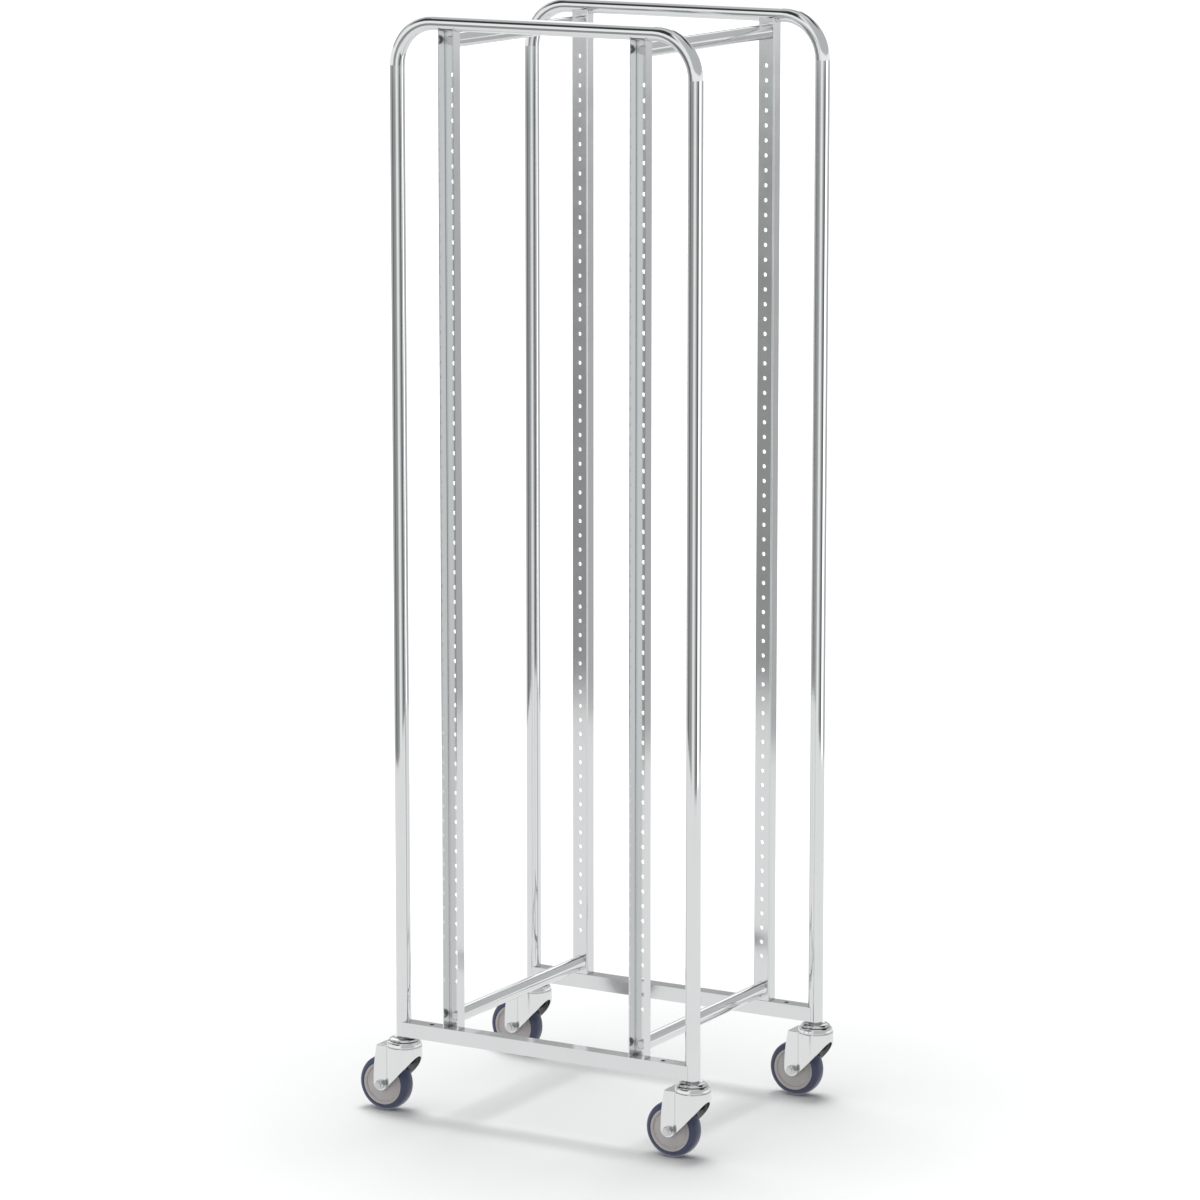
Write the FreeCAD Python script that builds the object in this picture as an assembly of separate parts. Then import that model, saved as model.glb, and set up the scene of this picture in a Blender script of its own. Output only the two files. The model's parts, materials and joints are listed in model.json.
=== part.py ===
import FreeCAD, Part
import math
import os

from FreeCAD import Vector

# Wheeled rack frame: two inverted-U end tubes, each closed by a square bottom rail and carrying two
# perforated channel uprights, joined by four round tie tubes, on four swivel casters.
# Millimetres. X runs across an end frame (left is -X), Y from the near end (-Y) to the far end (+Y),
# Z up from the floor. The casters trail towards -X.

# ---- driving dimensions: frame ----
overall_height = 1860.0
tube_diameter = 25.0
tube_wall = 1.5
post_spacing = 560.0            # between the leg centrelines of one end tube
end_spacing = 430.0             # between the centre planes of the two end frames
bend_radius = 72.0              # centreline radius of the end tube's bends
rail_size = 25.0
rail_wall = 1.5
rail_end_gap = 2.5              # rail end to post centreline, so that the cope keeps a real edge
rail_hole_diameter = 8.0
rail_hole_spacing = 448.0
upright_spacing = 360.0
channel_width = 30.0
channel_depth = 22.0
sheet = 1.5
sheet_bend_radius = 2.5         # outer radius of the folded corners
hole_diameter = 7.0
hole_pitch = 25.0
hole_count = 62
top_hole_below_tube = 84.5      # first hole centre below the top tube's centreline
saddle_reach = 5.0              # the uprights stop this far below the top tube's centreline
upper_tie_below_tube = 28.3
lower_tie_above_rail = 19.8     # tie tube centreline above the rail's top face

# ---- driving dimensions: tie tube fixings (M8) ----
bolt_radius = 4.0
bolt_head_flats = 13.0
bolt_head_height = 5.3
hex_end_share = 0.94            # turned end of a hex head or nut, as a share of its width across flats
hex_cone_share = 2.33           # the turning cone's width at the seat, as a share of the same width
washer_radius = 8.0
washer_thickness = 1.6
plug_length = 20.0

# ---- driving dimensions: casters ----
mount_height = 134.5            # floor to the bottom of the rail and the posts
trail = 35.0                    # swivel axis to axle
running_clearance = 0.06        # wheel bush on its sleeve

# Wheel.
wheel_radius = 47.5
tyre_half_width = 16.0
tread_shoulder = 11.0           # radius of the tyre's rounded shoulders
tread_drop = 0.4                # how far the tread falls from its middle to its shoulders
tyre_lip = 0.9                  # how far the tyre stands off the rim at its side
rim_radius = 36.5
rim_half_width = 14.6
core_face_half_width = 12.0
core_face_radius = 31.0
core_step_rise = 1.4            # from the core's recessed face up to the step below the rim
core_step_radius = 32.6
core_edge = 0.5                 # slope of the step's two edges
hub_radius = 13.0
hub_half_length = 15.8
hub_chamfer = 0.8
hub_foot = 1.2                  # extra radius where the hub boss runs into the core's face
bush_radius = 9.0
bush_half_length = 16.5

# Axle.
sleeve_radius = 6.5
axle_radius = 4.75
axle_flats = 14.3               # across the flats of the axle's head and nut
axle_head_height = 6.0
axle_nut_height = 7.0
axle_end_length = 1.2           # thread showing past the nut

# Fork. Its outline points are X from the swivel axis and Z from the floor.
fork_sheet = 2.5
fork_half_width = 20.0
crown_radius = 31.0
crown_depth = 17.8              # rail bottom down to the top of the crown
crown_rear = -42.0              # X of the crown's rear edge
crown_edge_radius = 2.0
skirt_depth = 29.5              # rail bottom down to the lowest edge of the nose
front_edge_middle = (6.3, 70.2)
rear_edge_middle = (-46.9, 88.5)
foot_centre = (-36.0, 49.5)     # rounded foot of each leg
foot_radius = 13.0
waist_radius = 5.5              # concave bend where the flat legs meet the round nose

# Kingpin and its insert in the post.
kingpin_radius = 6.0
kingpin_collar_radius = 11.0
kingpin_clearance = 0.08
kingpin_nut_flats = 19.0
kingpin_nut_height = 6.5
kingpin_nut_gap = 0.1           # between the fork's crown and the nut
kingpin_end_length = 1.5        # thread showing past the nut
insert_length = 30.0

# Swivel balls.
ball_radius = 2.5
ball_count = 22
ball_track_radius = 20.0
ball_depth = 8.1                # rail bottom down to the balls' centres
track_groove = 2.6              # radius of the grooves' section
track_play = 0.05

# The two races; their points are radius from the swivel axis and depth below the rail's bottom.
collar_depth = 4.4              # the upper race's sunk middle, which the kingpin's collar bears on
upper_race_dish = (13.5, collar_depth)
dish_slope_middle = (15.2, 4.2)
bead_inner_edge = (16.6, 3.7)
bead_top = (18.6, 3.4)
bead_outer_edge = (20.6, 3.8)
dome_middle = (23.8, 5.2)
dome_edge = (25.6, 7.0)
upper_race_bottom = 7.4
lower_race_top = 8.8
lower_race_bore = 14.0
cup_shoulder_radius = 25.6
cup_shoulder_middle = (28.3, 10.6)
cup_side_top = (29.6, 13.4)
cup_side_bottom = (30.2, 16.0)
cup_seam_radius = 29.4          # where the cup meets the crown, over the crown's rounded edge

# ---- worked-out places ----
tube_radius = tube_diameter / 2
tube_bore = tube_radius - tube_wall
top_tube_z = overall_height - tube_radius
rail_top_z = mount_height + rail_size
top_hole_z = top_tube_z - top_hole_below_tube
upper_tie_z = top_tube_z - upper_tie_below_tube
lower_tie_z = rail_top_z + lower_tie_above_rail
web_face_y = end_spacing / 2 - channel_depth / 2
crown_z = mount_height - crown_depth
leg_inner = fork_half_width - fork_sheet
kingpin_nut_depth = crown_depth + fork_sheet + kingpin_nut_gap
# The casters reach further back than forward; the frame stands forward of the origin by half of the
# difference, which puts the origin at the bottom centre of the whole object's box.
frame_x = (trail + wheel_radius - crown_radius) / 2

SIDES = {"left": -1, "right": 1}
ENDS = {"near": -1, "far": 1}
Z = Vector(0, 0, 1)
Y = Vector(0, 1, 0)


def save(shape, node):
    shape.exportStep("parts/" + node + ".step")
    print(node, len(shape.Solids), "solids", round(shape.Volume, 1), "mm3", "valid", shape.isValid())


def moved(shape, x, y, z=0.0):
    copy = shape.copy()
    copy.translate(Vector(x, y, z))
    return copy


def group(shapes):
    return Part.makeCompound(shapes)


def round_tube(length, outer, inner, base, direction):
    return Part.makeCylinder(outer, length, base, direction).cut(
        Part.makeCylinder(inner, length, base, direction))


def hex_prism(flats, height, base, direction):
    """Hexagon `flats` wide across its flats and `height` long from `base`, one corner pointing along X."""
    corner = flats / math.sqrt(3)
    side = Vector(0, 1, 0) if abs(direction.z) > 0.5 else Vector(0, 0, 1)
    points = []
    for step in range(7):
        angle = math.radians(60 * step)
        points.append(base + Vector(corner * math.cos(angle), 0, 0) + side * (corner * math.sin(angle)))
    return Part.Face(Part.makePolygon(points)).extrude(direction * height)


def chamfered_hex(flats, height, base, direction):
    """Hex head or nut whose free end is turned down to a cone, as real ones are."""
    prism = hex_prism(flats, height, base, direction)
    cone = Part.makeCone(flats * hex_cone_share / 2, flats * hex_end_share / 2, height, base, direction)
    return prism.common(cone)


def revolved(points, centre, axis):
    """Turn a closed section about `axis` through `centre`; points are (radius, distance along the axis)."""
    out = Vector(1, 0, 0)
    corners = [centre + out * radius + axis * along for radius, along in points]
    return Part.Face(Part.makePolygon(corners + corners[:1])).revolve(centre, axis, 360)


def section_arc(start, middle, end):
    return Part.Arc(start, middle, end).toShape()


# ---- frame ----
def end_tube(y):
    half = post_spacing / 2
    bend = bend_radius
    diagonal = bend * (1 - math.sqrt(0.5))
    low = mount_height
    turn = top_tube_z - bend
    left, right = frame_x - half, frame_x + half
    spine = Part.Wire([
        Part.LineSegment(Vector(left, y, low), Vector(left, y, turn)).toShape(),
        section_arc(Vector(left, y, turn), Vector(left + diagonal, y, top_tube_z - diagonal),
                    Vector(left + bend, y, top_tube_z)),
        Part.LineSegment(Vector(left + bend, y, top_tube_z), Vector(right - bend, y, top_tube_z)).toShape(),
        section_arc(Vector(right - bend, y, top_tube_z), Vector(right - diagonal, y, top_tube_z - diagonal),
                    Vector(right, y, turn)),
        Part.LineSegment(Vector(right, y, turn), Vector(right, y, low)).toShape(),
    ])
    start = Vector(left, y, low)
    outer = spine.makePipeShell([Part.Wire([Part.makeCircle(tube_radius, start, Z)])], True, False)
    inner = spine.makePipeShell([Part.Wire([Part.makeCircle(tube_bore, start, Z)])], True, False)
    return outer.cut(inner)


def bottom_rail(y):
    length = post_spacing - 2 * rail_end_gap
    corner = Vector(frame_x - length / 2, y - rail_size / 2, mount_height)
    outer = Part.makeBox(length, rail_size, rail_size, corner)
    inner_size = rail_size - 2 * rail_wall
    inner = Part.makeBox(length, inner_size, inner_size, corner + Vector(0, rail_wall, rail_wall))
    rail = outer.cut(inner)
    cutters = []
    for sign in SIDES.values():
        post_x = frame_x + sign * post_spacing / 2
        cutters.append(Part.makeCylinder(tube_radius, rail_size, Vector(post_x, y, mount_height), Z))
        hole_x = frame_x + sign * rail_hole_spacing / 2
        cutters.append(Part.makeCylinder(rail_hole_diameter / 2, 2 * rail_wall,
                                         Vector(hole_x, y, rail_top_z - 1.5 * rail_wall), Z))
    return rail.cut(cutters)


def channel_outline(x, end):
    """Closed outline of the folded channel, seen from above: web towards the load bay, open outwards."""
    half = channel_width / 2
    web = end * web_face_y
    tip = end * (web_face_y + channel_depth)
    r_out, r_in = sheet_bend_radius, sheet_bend_radius - sheet
    out_turn = r_out * (1 - math.sqrt(0.5))
    in_turn = r_in * (1 - math.sqrt(0.5))

    def point(across, from_web):
        return Vector(x + across, web + end * from_web, rail_top_z)

    inner = half - sheet
    edges = [Part.LineSegment(point(-half, channel_depth), point(-half, r_out)).toShape(),
             section_arc(point(-half, r_out), point(-half + out_turn, out_turn), point(-half + r_out, 0)),
             Part.LineSegment(point(-half + r_out, 0), point(half - r_out, 0)).toShape(),
             section_arc(point(half - r_out, 0), point(half - out_turn, out_turn), point(half, r_out)),
             Part.LineSegment(point(half, r_out), point(half, channel_depth)).toShape(),
             Part.LineSegment(point(half, channel_depth), point(inner, channel_depth)).toShape(),
             Part.LineSegment(point(inner, channel_depth), point(inner, r_out)).toShape(),
             section_arc(point(inner, r_out), point(inner - in_turn, sheet + in_turn),
                         point(inner - r_in, sheet)),
             Part.LineSegment(point(inner - r_in, sheet), point(-inner + r_in, sheet)).toShape(),
             section_arc(point(-inner + r_in, sheet), point(-inner + in_turn, sheet + in_turn),
                         point(-inner, r_out)),
             Part.LineSegment(point(-inner, r_out), point(-inner, channel_depth)).toShape(),
             Part.LineSegment(point(-inner, channel_depth), point(-half, channel_depth)).toShape()]
    return Part.Wire(edges)


def upright(x, end):
    height = top_tube_z - rail_top_z
    body = Part.Face(channel_outline(x, end)).extrude(Z * height)
    end_y = end * end_spacing / 2
    # The top is saddled to the underside of the end tube, and one hole column runs down the web.
    saddle = Part.makeCylinder(tube_radius, 2 * channel_width, Vector(x - channel_width, end_y, top_tube_z),
                               Vector(1, 0, 0))
    above = Part.makeBox(2 * channel_width, 2 * tube_radius, tube_radius,
                         Vector(x - channel_width, end_y - tube_radius, top_tube_z - saddle_reach))
    cutters = [saddle, above]
    drill_y = end * (web_face_y - sheet)
    for index in range(hole_count):
        z = top_hole_z - index * hole_pitch
        cutters.append(Part.makeCylinder(hole_diameter / 2, 3 * sheet, Vector(x, drill_y, z), Y * end))
    for z in (upper_tie_z, lower_tie_z):
        cutters.append(Part.makeCylinder(bolt_radius, 3 * sheet, Vector(x, drill_y, z), Y * end))
    return body.cut(cutters)


def tie_tube(x, z):
    return round_tube(2 * web_face_y, tube_radius, tube_bore, Vector(x, -web_face_y, z), Y)


def tie_joints():
    """The eight places where a tie tube meets a web: (x, z, direction out of the load bay)."""
    for side in SIDES.values():
        for z in (upper_tie_z, lower_tie_z):
            for end in ENDS.values():
                yield frame_x + side * upright_spacing / 2, z, end


def tie_plugs():
    plugs = []
    for x, z, end in tie_joints():
        base = Vector(x, end * web_face_y, z)
        plugs.append(round_tube(plug_length, tube_bore, bolt_radius, base, Y * -end))
    return group(plugs)


def tie_washers():
    washers = []
    for x, z, end in tie_joints():
        base = Vector(x, end * (web_face_y + sheet), z)
        washers.append(round_tube(washer_thickness, washer_radius, bolt_radius, base, Y * end))
    return group(washers)


def tie_bolts():
    bolts = []
    for x, z, end in tie_joints():
        seat = Vector(x, end * (web_face_y + sheet + washer_thickness), z)
        head = chamfered_hex(bolt_head_flats, bolt_head_height, seat, Y * end)
        shank = Part.makeCylinder(bolt_radius, plug_length + sheet + washer_thickness, seat, Y * -end)
        bolts.append(head.fuse(shank))
    return group(bolts)


# ---- casters: each is made with its swivel axis at x = 0, y = 0, at its real height ----
def depth(below):
    return mount_height - below


def tube_insert():
    return round_tube(insert_length, tube_bore, kingpin_radius, Vector(0, 0, mount_height), Z)


def kingpin():
    foot_depth = kingpin_nut_depth + kingpin_nut_height + kingpin_end_length
    shaft = Part.makeCylinder(kingpin_radius, insert_length + foot_depth, Vector(0, 0, depth(foot_depth)), Z)
    collar = Part.makeCylinder(kingpin_collar_radius, collar_depth, Vector(0, 0, depth(collar_depth)), Z)
    return shaft.fuse(collar)


def kingpin_nut():
    base = Vector(0, 0, depth(kingpin_nut_depth))
    nut = chamfered_hex(kingpin_nut_flats, kingpin_nut_height, base, -Z)
    return nut.cut(Part.makeCylinder(kingpin_radius, kingpin_nut_height, base, -Z))


def ring_section(edges_points):
    """Closed section in the XZ plane from lines and three-point arcs; depths are below the rail's bottom."""
    edges = []
    for points in edges_points:
        corners = [Vector(radius, 0, depth(below)) for radius, below in points]
        if len(corners) == 2:
            edges.append(Part.LineSegment(*corners).toShape())
        else:
            edges.append(section_arc(*corners))
    return Part.Face(Part.Wire(edges)).revolve(Vector(0, 0, 0), Z, 360)


def groove_ends(centre_depth, face_depth):
    """Where the ball groove's round section breaks through a race's face: inner and outer radius."""
    reach = math.sqrt(track_groove ** 2 - (face_depth - centre_depth) ** 2)
    return ball_track_radius - reach, ball_track_radius + reach


def upper_race():
    """Plate on the kingpin: sunk middle, raised bead, domed rim and a ball groove underneath."""
    groove_centre = ball_depth - ball_radius - track_play + track_groove
    inner, outer = groove_ends(groove_centre, upper_race_bottom)
    rim_bottom = (dome_edge[0], upper_race_bottom)
    return ring_section([
        [(kingpin_radius, collar_depth), upper_race_dish],
        [upper_race_dish, dish_slope_middle, bead_inner_edge],
        [bead_inner_edge, bead_top, bead_outer_edge],
        [bead_outer_edge, dome_middle, dome_edge],
        [dome_edge, rim_bottom],
        [rim_bottom, (outer, upper_race_bottom)],
        [(outer, upper_race_bottom), (ball_track_radius, groove_centre - track_groove),
         (inner, upper_race_bottom)],
        [(inner, upper_race_bottom), (kingpin_radius, upper_race_bottom)],
        [(kingpin_radius, upper_race_bottom), (kingpin_radius, collar_depth)],
    ])


def lower_race():
    """Cup welded to the fork's crown: ball groove on top, domed shoulder, near-upright side."""
    groove_centre = ball_depth + ball_radius + track_play / 2 - track_groove
    inner, outer = groove_ends(groove_centre, lower_race_top)
    shoulder = (cup_shoulder_radius, lower_race_top)
    seam = (cup_seam_radius, crown_depth)
    return ring_section([
        [(lower_race_bore, lower_race_top), (inner, lower_race_top)],
        [(inner, lower_race_top), (ball_track_radius, groove_centre + track_groove), (outer, lower_race_top)],
        [(outer, lower_race_top), shoulder],
        [shoulder, cup_shoulder_middle, cup_side_top],
        [cup_side_top, cup_side_bottom],
        [cup_side_bottom, seam],
        [seam, (lower_race_bore, crown_depth)],
        [(lower_race_bore, crown_depth), (lower_race_bore, lower_race_top)],
    ])


def ball_ring():
    balls = []
    for index in range(ball_count):
        angle = 2 * math.pi * index / ball_count
        centre = Vector(ball_track_radius * math.cos(angle), ball_track_radius * math.sin(angle),
                        depth(ball_depth))
        balls.append(Part.makeSphere(ball_radius, centre))
    return group(balls)


def fork_plan(half_width, nose_radius, waist, rear, z):
    """Outline seen from above: round nose about the swivel axis, concave waist, straight legs to the rear."""
    # The waist arc touches the nose circle and the straight leg line from outside.
    waist_y = half_width + waist
    waist_x = -math.sqrt((nose_radius + waist) ** 2 - waist_y ** 2)
    nose_angle = math.atan2(waist_y, waist_x)
    toward_nose = math.atan2(-waist_y, -waist_x)
    middle_angle = (toward_nose - math.pi / 2) / 2

    def arc_middle(sign):
        across = sign * (waist_y + waist * math.sin(middle_angle))
        return Vector(waist_x + waist * math.cos(middle_angle), across, z)

    start_left = Vector(nose_radius * math.cos(nose_angle), nose_radius * math.sin(nose_angle), z)
    start_right = Vector(start_left.x, -start_left.y, z)
    leg_left, leg_right = Vector(waist_x, half_width, z), Vector(waist_x, -half_width, z)
    edges = [section_arc(start_right, Vector(nose_radius, 0, z), start_left),
             section_arc(start_left, arc_middle(1), leg_left),
             Part.LineSegment(leg_left, Vector(rear, half_width, z)).toShape(),
             Part.LineSegment(Vector(rear, half_width, z), Vector(rear, -half_width, z)).toShape(),
             Part.LineSegment(Vector(rear, -half_width, z), leg_right).toShape(),
             section_arc(leg_right, arc_middle(-1), start_right)]
    return Part.Face(Part.Wire(edges))


def fork_side():
    """Side outline of the fork, as a slab across the whole width."""
    y = -2 * crown_radius
    margin = 1.0
    foot = Vector(foot_centre[0], y, foot_centre[1])
    front_foot = foot + Vector(foot_radius, 0, -foot_radius) * math.sqrt(0.5)
    rear_foot = foot + Vector(-foot_radius, 0, 0)
    bottom = foot + Vector(-foot_radius, 0, -foot_radius) * math.sqrt(0.5)
    front_middle = Vector(front_edge_middle[0], y, front_edge_middle[1])
    rear_middle = Vector(rear_edge_middle[0], y, rear_edge_middle[1])
    crown_back = Vector(crown_rear, y, crown_z)
    nose_low = Vector(crown_radius + margin, y, depth(skirt_depth) + margin)
    nose_top = Vector(crown_radius + margin, y, crown_z + margin)
    back_top = Vector(crown_rear, y, crown_z + margin)
    edges = [section_arc(rear_foot, bottom, front_foot),
             section_arc(front_foot, front_middle, nose_low),
             Part.LineSegment(nose_low, nose_top).toShape(),
             Part.LineSegment(nose_top, back_top).toShape(),
             Part.LineSegment(back_top, crown_back).toShape(),
             section_arc(crown_back, rear_middle, rear_foot)]
    return Part.Face(Part.Wire(edges)).extrude(Y * (4 * crown_radius))


def fork():
    rear = crown_rear - 4 * foot_radius
    drop = Vector(0, 0, -crown_z)
    outer = fork_plan(fork_half_width, crown_radius, waist_radius, rear, crown_z).extrude(drop)
    top_edges = [edge for edge in outer.Edges
                 if all(abs(v.Z - crown_z) < 1e-6 for v in edge.Vertexes) and edge.CenterOfMass.x > rear + 1]
    outer = outer.makeFillet(crown_edge_radius, top_edges)
    inside = fork_plan(leg_inner, crown_radius - fork_sheet, waist_radius + fork_sheet, rear - 1,
                       crown_z - fork_sheet).extrude(drop)
    shell = outer.cut(inside).common(fork_side())
    axle_hole = Part.makeCylinder(axle_radius, 2 * fork_half_width,
                                  Vector(-trail, -fork_half_width, wheel_radius), Y)
    pin_hole = Part.makeCylinder(kingpin_radius + kingpin_clearance, 3 * fork_sheet,
                                 Vector(0, 0, crown_z - 2 * fork_sheet), Z)
    return shell.cut([axle_hole, pin_hole])


def on_axle(along):
    return Vector(-trail, along, wheel_radius)


def axle_bolt():
    length = 2 * fork_half_width + axle_nut_height + axle_end_length
    shank = Part.makeCylinder(axle_radius, length, on_axle(fork_half_width), -Y)
    return chamfered_hex(axle_flats, axle_head_height, on_axle(fork_half_width), Y).fuse(shank)


def axle_nut():
    """Plain nut on the near leg."""
    seat = on_axle(-fork_half_width)
    nut = chamfered_hex(axle_flats, axle_nut_height, seat, -Y)
    return nut.cut(Part.makeCylinder(axle_radius, axle_nut_height, seat, -Y))


def axle_sleeve():
    return round_tube(2 * leg_inner, sleeve_radius, axle_radius, on_axle(-leg_inner), Y)


def wheel_bush():
    return round_tube(2 * bush_half_length, bush_radius, sleeve_radius + running_clearance,
                      on_axle(-bush_half_length), Y)


def wheel_core():
    """Moulded core: hub boss, recessed face, step, and a rim that carries the tyre."""
    face = core_face_half_width
    half = [(bush_radius, hub_half_length),
            (hub_radius - hub_chamfer, hub_half_length),
            (hub_radius, hub_half_length - hub_chamfer),
            (hub_radius + hub_foot, face),
            (core_face_radius, face),
            (core_face_radius + core_edge, face + core_step_rise),
            (core_step_radius, rim_half_width - core_edge),
            (core_step_radius + core_edge, rim_half_width),
            (rim_radius, rim_half_width)]
    mirrored = [(radius, -along) for radius, along in reversed(half)]
    return revolved(half + mirrored, on_axle(0), Y)


def tyre():
    """Soft tyre with quarter-round shoulders and a slightly crowned tread."""
    shoulder = tyre_half_width - tread_shoulder
    tread_edge = wheel_radius - tread_drop
    turn_centre = tread_edge - tread_shoulder
    turn = tread_shoulder * math.sqrt(0.5)
    lip_radius = rim_radius + tyre_lip
    lip_along = shoulder + math.sqrt(tread_shoulder ** 2 - (lip_radius - turn_centre) ** 2)

    def place(radius, along):
        return on_axle(along) + Vector(radius, 0, 0)

    edges = [section_arc(place(tread_edge, -shoulder), place(wheel_radius, 0), place(tread_edge, shoulder)),
             section_arc(place(tread_edge, shoulder), place(turn_centre + turn, shoulder + turn),
                         place(lip_radius, lip_along)),
             Part.LineSegment(place(lip_radius, lip_along), place(rim_radius, rim_half_width)).toShape(),
             Part.LineSegment(place(rim_radius, rim_half_width),
                              place(rim_radius, -rim_half_width)).toShape(),
             Part.LineSegment(place(rim_radius, -rim_half_width), place(lip_radius, -lip_along)).toShape(),
             section_arc(place(lip_radius, -lip_along), place(turn_centre + turn, -shoulder - turn),
                         place(tread_edge, -shoulder))]
    return Part.Face(Part.Wire(edges)).revolve(on_axle(0), Y, 360)


def caster_stations():
    for end, end_sign in ENDS.items():
        for side, side_sign in SIDES.items():
            yield end + "_" + side, frame_x + side_sign * post_spacing / 2, end_sign * end_spacing / 2


def at_every_caster(shape):
    return group([moved(shape, x, y) for _, x, y in caster_stations()])


os.makedirs("parts", exist_ok=True)

for end, end_sign in ENDS.items():
    save(end_tube(end_sign * end_spacing / 2), end + "_end_tube")
    save(bottom_rail(end_sign * end_spacing / 2), end + "_bottom_rail")
    for side, side_sign in SIDES.items():
        save(upright(frame_x + side_sign * upright_spacing / 2, end_sign), end + "_" + side + "_upright")

for side, side_sign in SIDES.items():
    save(tie_tube(frame_x + side_sign * upright_spacing / 2, upper_tie_z), "upper_" + side + "_tie_tube")
    save(tie_tube(frame_x + side_sign * upright_spacing / 2, lower_tie_z), "lower_" + side + "_tie_tube")

save(tie_plugs(), "tie_tube_plugs")
save(tie_washers(), "tie_washers")
save(tie_bolts(), "tie_bolts")
save(at_every_caster(tube_insert()), "caster_inserts")
save(at_every_caster(kingpin()), "caster_kingpins")
save(at_every_caster(kingpin_nut()), "caster_kingpin_nuts")
save(at_every_caster(upper_race()), "caster_upper_races")

CASTER_PARTS = {"fork": fork(), "lower_race": lower_race(), "ball_ring": ball_ring(),
                "axle_bolt": axle_bolt(), "axle_nut": axle_nut(), "axle_sleeve": axle_sleeve(),
                "wheel_core": wheel_core(), "wheel_bush": wheel_bush(), "tyre": tyre()}
for station, x, y in caster_stations():
    for name, shape in CASTER_PARTS.items():
        save(moved(shape, x, y), station + "_" + name)
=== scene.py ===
import json
import math

import bpy
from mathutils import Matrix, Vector


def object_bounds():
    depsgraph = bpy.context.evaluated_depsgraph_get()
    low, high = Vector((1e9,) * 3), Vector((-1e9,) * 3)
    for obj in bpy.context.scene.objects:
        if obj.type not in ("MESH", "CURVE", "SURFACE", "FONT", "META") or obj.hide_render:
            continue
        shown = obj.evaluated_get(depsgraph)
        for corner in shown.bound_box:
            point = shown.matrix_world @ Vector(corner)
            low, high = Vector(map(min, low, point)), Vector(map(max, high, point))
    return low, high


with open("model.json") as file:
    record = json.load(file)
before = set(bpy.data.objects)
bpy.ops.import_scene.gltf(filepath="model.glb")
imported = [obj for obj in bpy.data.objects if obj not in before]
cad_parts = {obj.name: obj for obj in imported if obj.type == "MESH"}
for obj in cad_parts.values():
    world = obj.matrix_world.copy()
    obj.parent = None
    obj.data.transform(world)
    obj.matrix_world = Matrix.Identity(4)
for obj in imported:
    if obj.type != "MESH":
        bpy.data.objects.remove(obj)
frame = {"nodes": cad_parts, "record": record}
cad_low, cad_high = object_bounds()
nodes = frame["nodes"]
scene = bpy.context.scene
collection = scene.collection

# ---------------------------------------------------------------- camera
CAMERA_AT = (4.522, -7.7695, 2.5704)
CAMERA_AZIMUTH = 30.174
CAMERA_DOWN = 10.695
camera_data = bpy.data.cameras.new("camera")
camera_data.sensor_width = 36.0
camera_data.lens = 163.47
camera_data.clip_start, camera_data.clip_end = 0.1, 200.0
camera = bpy.data.objects.new("camera", camera_data)
camera.location = CAMERA_AT
camera.rotation_euler = (math.radians(90 - CAMERA_DOWN), 0, math.radians(CAMERA_AZIMUTH))
collection.objects.link(camera)
scene.camera = camera
scene.view_settings.view_transform = "Standard"


# ---------------------------------------------------------------- node helpers
class Tree:
    """A thin layer over a node tree, so that a shader reads as a short list of steps."""

    def __init__(self, tree):
        self.tree = tree
        tree.nodes.clear()

    def node(self, kind, **settings):
        made = self.tree.nodes.new(kind)
        for key, value in settings.items():
            setattr(made, key, value)
        return made

    def put(self, socket, value):
        if isinstance(value, bpy.types.NodeSocket):
            self.tree.links.new(value, socket)
        elif isinstance(value, (tuple, list)) and len(value) == 3 and socket.type == "RGBA":
            socket.default_value = (*value, 1.0)
        else:
            socket.default_value = value

    def math(self, operation, *values, clamp=False):
        made = self.node("ShaderNodeMath", operation=operation, use_clamp=clamp)
        for socket, value in zip(made.inputs, values):
            self.put(socket, value)
        return made.outputs[0]

    def ramp(self, value, low, high, to_low=0.0, to_high=1.0, smooth=True):
        made = self.node("ShaderNodeMapRange", interpolation_type="SMOOTHSTEP" if smooth else "LINEAR")
        for index, given in enumerate((value, low, high, to_low, to_high)):
            self.put(made.inputs[index], given)
        return made.outputs[0]

    def mix(self, share, first, second):
        made = self.node("ShaderNodeMix", data_type="RGBA")
        self.put(made.inputs[0], share)
        self.put(made.inputs[6], first)
        self.put(made.inputs[7], second)
        return made.outputs[2]

    def blend(self, share, first, second):
        made = self.node("ShaderNodeMix", data_type="FLOAT")
        self.put(made.inputs[0], share)
        self.put(made.inputs[2], first)
        self.put(made.inputs[3], second)
        return made.outputs[0]

    def noise(self, place, scale, detail=3.0, stretch=None):
        if stretch is not None:
            mapping = self.node("ShaderNodeMapping")
            self.put(mapping.inputs["Vector"], place)
            mapping.inputs["Scale"].default_value = stretch
            place = mapping.outputs[0]
        made = self.node("ShaderNodeTexNoise")
        self.put(made.inputs["Vector"], place)
        made.inputs["Scale"].default_value = scale
        made.inputs["Detail"].default_value = detail
        return made.outputs["Fac"]

    def openness(self, reach):
        """1 on open surfaces, falling to 0 where other surfaces crowd in closer than `reach` metres."""
        made = self.node("ShaderNodeAmbientOcclusion", samples=8)
        made.inputs["Distance"].default_value = reach
        return made.outputs["AO"]

    def bump(self, height, strength, distance, normal=None):
        made = self.node("ShaderNodeBump")
        self.put(made.inputs["Height"], height)
        made.inputs["Strength"].default_value = strength
        made.inputs["Distance"].default_value = distance
        if normal is not None:
            self.put(made.inputs["Normal"], normal)
        return made.outputs[0]


def new_material(name):
    material = bpy.data.materials.new(name)
    material.use_nodes = True
    tree = Tree(material.node_tree)
    output = tree.node("ShaderNodeOutputMaterial")
    shader = tree.node("ShaderNodeBsdfPrincipled")
    tree.put(output.inputs["Surface"], shader.outputs[0])
    place = tree.node("ShaderNodeTexCoord").outputs["Object"]
    return material, tree, shader, place


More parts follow.
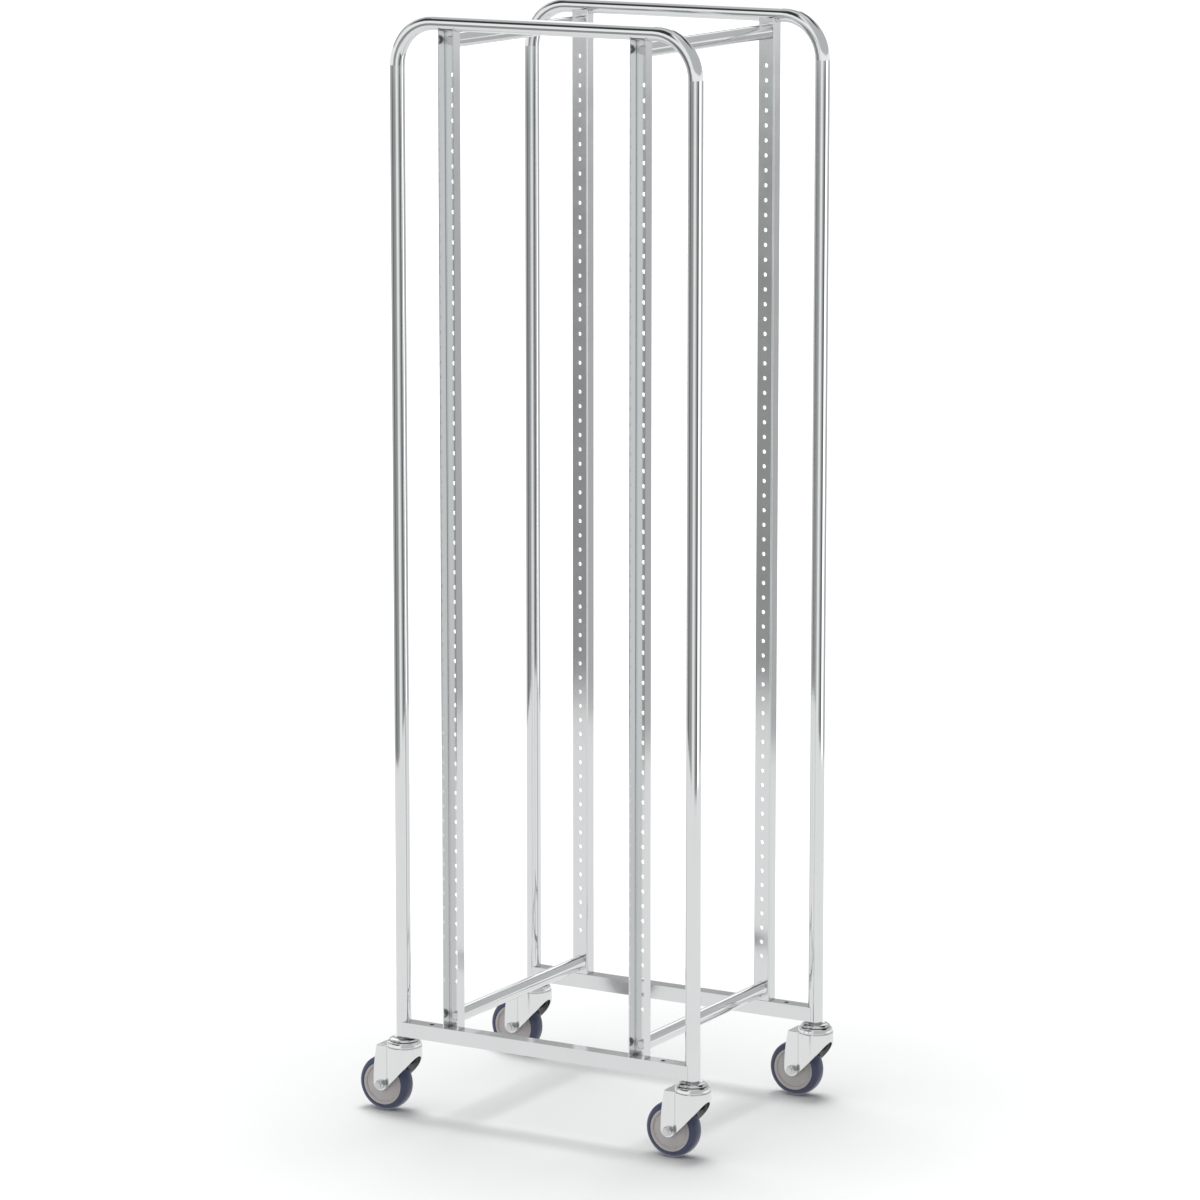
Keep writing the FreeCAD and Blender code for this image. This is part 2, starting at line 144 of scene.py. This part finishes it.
def zinc(name, colour, roughness, grain, grain_depth, cloud=0.02, along=None, reach=0.012, closed=0.45,
         crowd=(0.15, 0.75)):
    """Zinc-plated steel: fine grain in the plating, slow clouds in its colour and gloss, and drawn lines
    along the piece where `along` gives the axis they run in. Painted shade: corners and cavities closer
    than `reach` darken to the share `closed`, between the two openness values of `crowd`."""
    material, tree, shader, place = new_material(name)
    clouds = tree.noise(place, 14.0, 4.0)
    fine = tree.noise(place, grain, 2.0)
    if along is not None:
        stretch = [1.0, 1.0, 1.0]
        stretch[along] = 0.012
        lines = tree.noise(place, 900.0, 2.0, stretch)
        fine = tree.blend(0.6, fine, lines)
    darker = tuple(c * (1 - 2.5 * cloud) for c in colour)
    tint = tree.mix(tree.ramp(clouds, 0.35, 0.68), darker, colour)
    tint = tree.mix(tree.ramp(fine, 0.30, 0.72, 0.0, 0.4), tint, tuple(c * (1 - cloud * 3) for c in colour))
    # Painted shade: the colour darkens towards the share `closed` where the occlusion openness is low, in
    # corners and cavities.
    shade = tree.mix(tree.ramp(tree.openness(reach), *crowd), tuple(c * closed for c in colour), tint)
    tree.put(shader.inputs["Base Color"], shade)
    shader.inputs["Metallic"].default_value = 1.0
    tree.put(shader.inputs["Roughness"], tree.ramp(clouds, 0.3, 0.7, roughness * 0.85, roughness * 1.2))
    tree.put(shader.inputs["Normal"], tree.bump(fine, grain_depth, 0.0004))
    return material


# ---------------------------------------------------------------- materials
# Every zinc finish below carries painted shade in its corners and cavities.
tube_upright = zinc("bright_zinc_post", (0.80, 0.81, 0.815), 0.05, 700.0, 0.025, 0.010, along=2)
tube_across = zinc("bright_zinc_cross", (0.80, 0.81, 0.815), 0.05, 700.0, 0.025, 0.010, along=1)
sheet_zinc = zinc("satin_zinc_sheet", (0.78, 0.79, 0.795), 0.11, 900.0, 0.03, 0.008, reach=0.009,
                  closed=0.25)
# Painted shade: the fork's inside darkens almost to black.
fork_zinc = zinc("pressed_zinc_fork", (0.83, 0.84, 0.84), 0.15, 900.0, 0.03, 0.006, reach=0.03, closed=0.02,
                 crowd=(0.06, 0.34))
ring_zinc = zinc("bright_zinc_ring", (0.82, 0.83, 0.83), 0.09, 600.0, 0.03, 0.012, closed=0.5)
bolt_zinc = zinc("zinc_fastener", (0.66, 0.67, 0.68), 0.20, 800.0, 0.10, 0.03)
ball_steel = zinc("ball_steel", (0.75, 0.75, 0.76), 0.06, 900.0, 0.02, 0.01)


def plastic(name, colour, roughness, grain_depth, specular=0.5):
    material, tree, shader, place = new_material(name)
    clouds = tree.noise(place, 40.0, 4.0)
    fine = tree.noise(place, 1600.0, 2.0)
    tint = tree.mix(tree.ramp(clouds, 0.3, 0.7), tuple(c * 0.93 for c in colour), colour)
    tree.put(shader.inputs["Base Color"], tint)
    tree.put(shader.inputs["Roughness"], tree.ramp(clouds, 0.3, 0.7, roughness * 0.9, roughness * 1.15))
    shader.inputs["Specular IOR Level"].default_value = specular
    tree.put(shader.inputs["Normal"], tree.bump(fine, grain_depth, 0.0003))
    return material


core_plastic = plastic("grey_wheel_core", (0.45, 0.42, 0.42), 0.42, 0.12)
bush_plastic = plastic("white_bush", (0.78, 0.77, 0.72), 0.4, 0.08)
tyre_rubber = plastic("slate_tyre", (0.035, 0.044, 0.095), 0.24, 0.05)

FINISH = {
    "bright_tube": tube_upright, "zinc_sheet": sheet_zinc, "zinc_fork": fork_zinc, "bright_race": ring_zinc,
    "fastener_steel": bolt_zinc, "ball_steel": ball_steel, "core_plastic": core_plastic,
    "bush_plastic": bush_plastic, "tyre_rubber": tyre_rubber,
}
for part in frame["record"]["subparts"]:
    node = nodes[part["node"]]
    material = FINISH[part["material_slot"]]
    if part["node"].endswith("tie_tube"):
        material = tube_across
    node.data.materials.clear()
    node.data.materials.append(material)


# ---------------------------------------------------------------- studio
def add_mesh(name, points, faces, material):
    mesh = bpy.data.meshes.new(name)
    mesh.from_pydata(points, [], faces)
    mesh.materials.append(material)
    made = bpy.data.objects.new(name, mesh)
    collection.objects.link(made)
    return made


def disc(name, radius, height, material, count=96):
    ring = [(radius * math.cos(2 * math.pi * i / count), radius * math.sin(2 * math.pi * i / count), height)
            for i in range(count)]
    made = add_mesh(name, ring, [tuple(range(count))], material)
    return made


# The floor carries a painted shadow: it is greyer around the object and fades to a pale tone with distance,
# in metres.
FLOOR_PAINTED_SHADOW_TO, FLOOR_PALE_FROM = 0.2, 1.9
FLOOR_PALE = (0.93, 0.93, 0.93)
FLOOR_RADIUS, MIRRORED_RADIUS = 60.0, 3.1
floor_material, tree, shader, place = new_material("pale_floor")
mottle = tree.noise(place, 3.0, 3.0)
distance = tree.node("ShaderNodeVectorMath", operation="LENGTH")
tree.put(distance.inputs[0], place)
# Painted shadow: the grey tone of the floor near the object, with a faint random mottle in it.
near = tree.mix(mottle, (0.655, 0.655, 0.655), (0.665, 0.665, 0.665))
away = tree.ramp(distance.outputs["Value"], FLOOR_PAINTED_SHADOW_TO, FLOOR_PALE_FROM)
tree.put(shader.inputs["Base Color"], tree.mix(away, near, FLOOR_PALE))
shader.inputs["Roughness"].default_value = 0.9
shader.inputs["Specular IOR Level"].default_value = 0.0
floor = disc("floor", FLOOR_RADIUS, cad_low.z, floor_material)
floor.visible_glossy = False

# The metal mirrors a pale floor near the object and the darker room beyond it.
card_material = bpy.data.materials.new("near_floor")
card_material.use_nodes = True
tree = Tree(card_material.node_tree)
glow = tree.node("ShaderNodeEmission")
spot = tree.noise(tree.node("ShaderNodeTexCoord").outputs["Object"], 1.5, 2.0)
tree.put(glow.inputs["Color"], tree.mix(spot, (0.86, 0.865, 0.865), (0.89, 0.895, 0.895)))
tree.put(tree.node("ShaderNodeOutputMaterial").inputs["Surface"], glow.outputs[0])
card = disc("near_floor", MIRRORED_RADIUS, cad_low.z - 0.002, card_material)
card.visible_camera = False
card.visible_diffuse = False
card.visible_shadow = False

world = bpy.data.worlds.new("studio")
scene.world = world
world.use_nodes = True
tree = Tree(world.node_tree)
direction = tree.node("ShaderNodeTexCoord").outputs["Generated"]
split = tree.node("ShaderNodeSeparateXYZ")
tree.put(split.inputs[0], direction)
squares = tree.math("ADD", tree.math("MULTIPLY", split.outputs[0], split.outputs[0]),
                    tree.math("MULTIPLY", split.outputs[1], split.outputs[1]))
flat = tree.math("MAXIMUM", tree.math("SQRT", squares), 0.001)
east = tree.math("DIVIDE", split.outputs[0], flat)
north = tree.math("DIVIDE", split.outputs[1], flat)
rise = split.outputs[2]


def toward(bearing, half_width, soft):
    """1 within half_width degrees of a bearing (from +X, towards +Y), falling to 0 over soft degrees."""
    angle = math.radians(bearing)
    facing = tree.math("ADD", tree.math("MULTIPLY", east, math.cos(angle)),
                       tree.math("MULTIPLY", north, math.sin(angle)))
    return tree.ramp(facing, math.cos(math.radians(half_width + soft)),
                     math.cos(math.radians(max(half_width - soft, 0.0))))


def above(elevation, soft):
    return tree.ramp(rise, math.sin(math.radians(elevation - soft)), math.sin(math.radians(elevation + soft)))


def both(first, second):
    return tree.math("MULTIPLY", first, second)


def below(elevation, soft):
    return tree.math("SUBTRACT", 1.0, above(elevation, soft))


# The room beyond the lit floor, as the metal mirrors it: walking round by bearing, (bearing, softness,
# brightness from there on).
ROOM_START = 0.50
ROOM = [
    (-158, 6, 0.15),
    (-136, 6, 0.32),
    (-100, 6, 0.45),
    (-86, 6, 0.95),
    (-54, 6, 0.50),
    (-39, 5, 0.24),
    (-24, 5, 0.12),
    (-7, 4, 1.60),
    (31, 5, 0.50),
    (84, 10, 0.90),
    (150, 10, ROOM_START),
]
bearing = tree.math("MULTIPLY", tree.math("ARCTAN2", split.outputs[1], split.outputs[0]), math.degrees(1))
room = ROOM_START
for start, soft, value in ROOM:
    room = tree.blend(tree.ramp(bearing, start - soft, start + soft), room, value)

# Above eye level: a pale wall, brighter at the front left below a dark band; a dark panel high at the back
# right; a pale ceiling; and one large soft box at the back.
light = 1.0
light = tree.blend(above(5.5, 1.2), light, 0.55)
light = tree.blend(both(above(5.5, 1.2), toward(-120, 40, 10)), light, 1.0)
light = tree.blend(both(above(25, 3), toward(-130, 34, 8)), light, 0.05)
light = tree.blend(both(above(46, 4), toward(65, 38, 8)), light, 0.03)
light = tree.blend(both(above(50, 4), toward(-160, 25, 8)), light, 0.6)
light = tree.blend(above(67, 3), light, 0.7)
light = tree.blend(both(above(6.0, 1.0), toward(133, 28, 6)), light, 0.42)
light = tree.blend(both(both(above(19, 1), below(60, 3)), toward(133, 28, 6)), light, 1.3)
light = tree.blend(below(-4.7, 0.6), light, room)
light = tree.blend(below(-34, 3), light, 0.88)
background = tree.node("ShaderNodeBackground")
tint = tree.node("ShaderNodeCombineColor")
for index, share in enumerate((0.985, 1.0, 1.0)):
    tree.put(tint.inputs[index], tree.math("MULTIPLY", light, share))
tree.put(background.inputs["Color"], tint.outputs[0])
tree.put(tree.node("ShaderNodeOutputWorld").inputs["Surface"], background.outputs[0])


def sky_light(name, azimuth, elevation, spread, strength):
    """A far, wide, soft light from the given direction; the metal doesn't mirror it."""
    data = bpy.data.lights.new(name, "SUN")
    data.angle = math.radians(spread)
    data.energy = strength
    made = bpy.data.objects.new(name, data)
    made.rotation_euler = (math.radians(90 - elevation), 0, math.radians(azimuth + 90))
    made.visible_glossy = False
    collection.objects.link(made)


sky_light("overhead", 110, 78, 26, 2.1)
sky_light("front_left", -130, 55, 50, 0.75)
